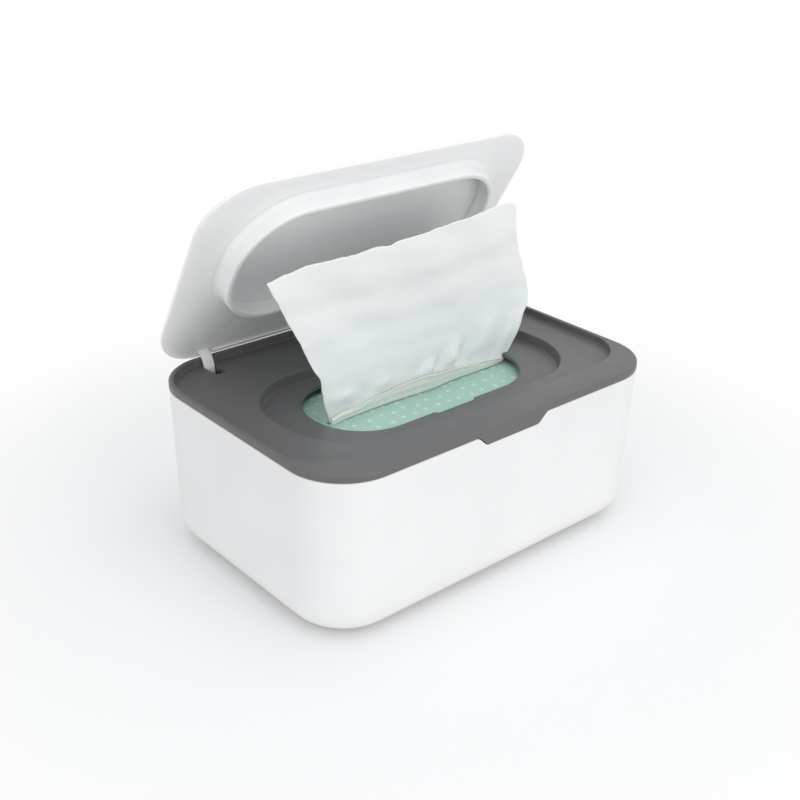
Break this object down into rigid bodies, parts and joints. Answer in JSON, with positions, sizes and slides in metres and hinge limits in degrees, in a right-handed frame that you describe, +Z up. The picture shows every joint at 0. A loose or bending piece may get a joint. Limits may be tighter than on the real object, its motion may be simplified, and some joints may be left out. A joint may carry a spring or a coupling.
{
  "type": "wipes dispenser",
  "caption": "Rectangular wet-wipe box with rounded corners, a grey lift-off cover, a hinged white lid with an oval seal, and a refill pack with a wipe drawn up.",
  "frame": {"origin": "centre of the box's flat underside, 0.8 mm above the plane that the four feet stand on", "axes": "X along the length, +Y to the hinge side at the back, +Z up"},
  "size_m": [0.19, 0.1359, 0.1705],
  "materials": {
    "white_shell": "satin white moulded plastic",
    "foot": "pale soft non-slip rubber",
    "grey_shell": "satin dark grey moulded plastic",
    "lid_shell": "satin white moulded plastic",
    "seal": "white soft silicone",
    "film": "sea-green printed pack film, soft gloss",
    "wipes": "moist white nonwoven, folded",
    "film_inside": "pale unprinted inside of the film",
    "wipe": "moist white nonwoven with a fine embossing"
  },
  "bodies": {
    "base": {"box_body": "white_shell", "foot_front_left": "foot", "foot_front_right": "foot", "foot_rear_left": "foot", "foot_rear_right": "foot", "wipes_pack": "film", "wipe_stack": "wipes", "slit_lip": "film_inside"},
    "cover": {"top_cover": "grey_shell"},
    "lid": {"lid": "lid_shell", "lid_seal_ring": "seal"},
    "wipe": {"pulled_wipe": "wipe"}
  },
  "joints": [
    {"name": "cover_lift", "type": "slide", "parent": "base", "child": "cover", "axis": [0, 0, 1], "range_m": [0, 0.1]},
    {"name": "lid_hinge", "type": "hinge", "parent": "cover", "child": "lid", "pos_m": [0, 0.0612, 0.0676], "axis": [-1, 0, 0], "range_deg": [-59.3, 0], "deforming": ["pulled_wipe"]},
    {"name": "wipe_pull", "type": "slide", "parent": "base", "child": "wipe", "axis": [0, 0, 1], "range_m": [0, 0.03]}
  ]
}
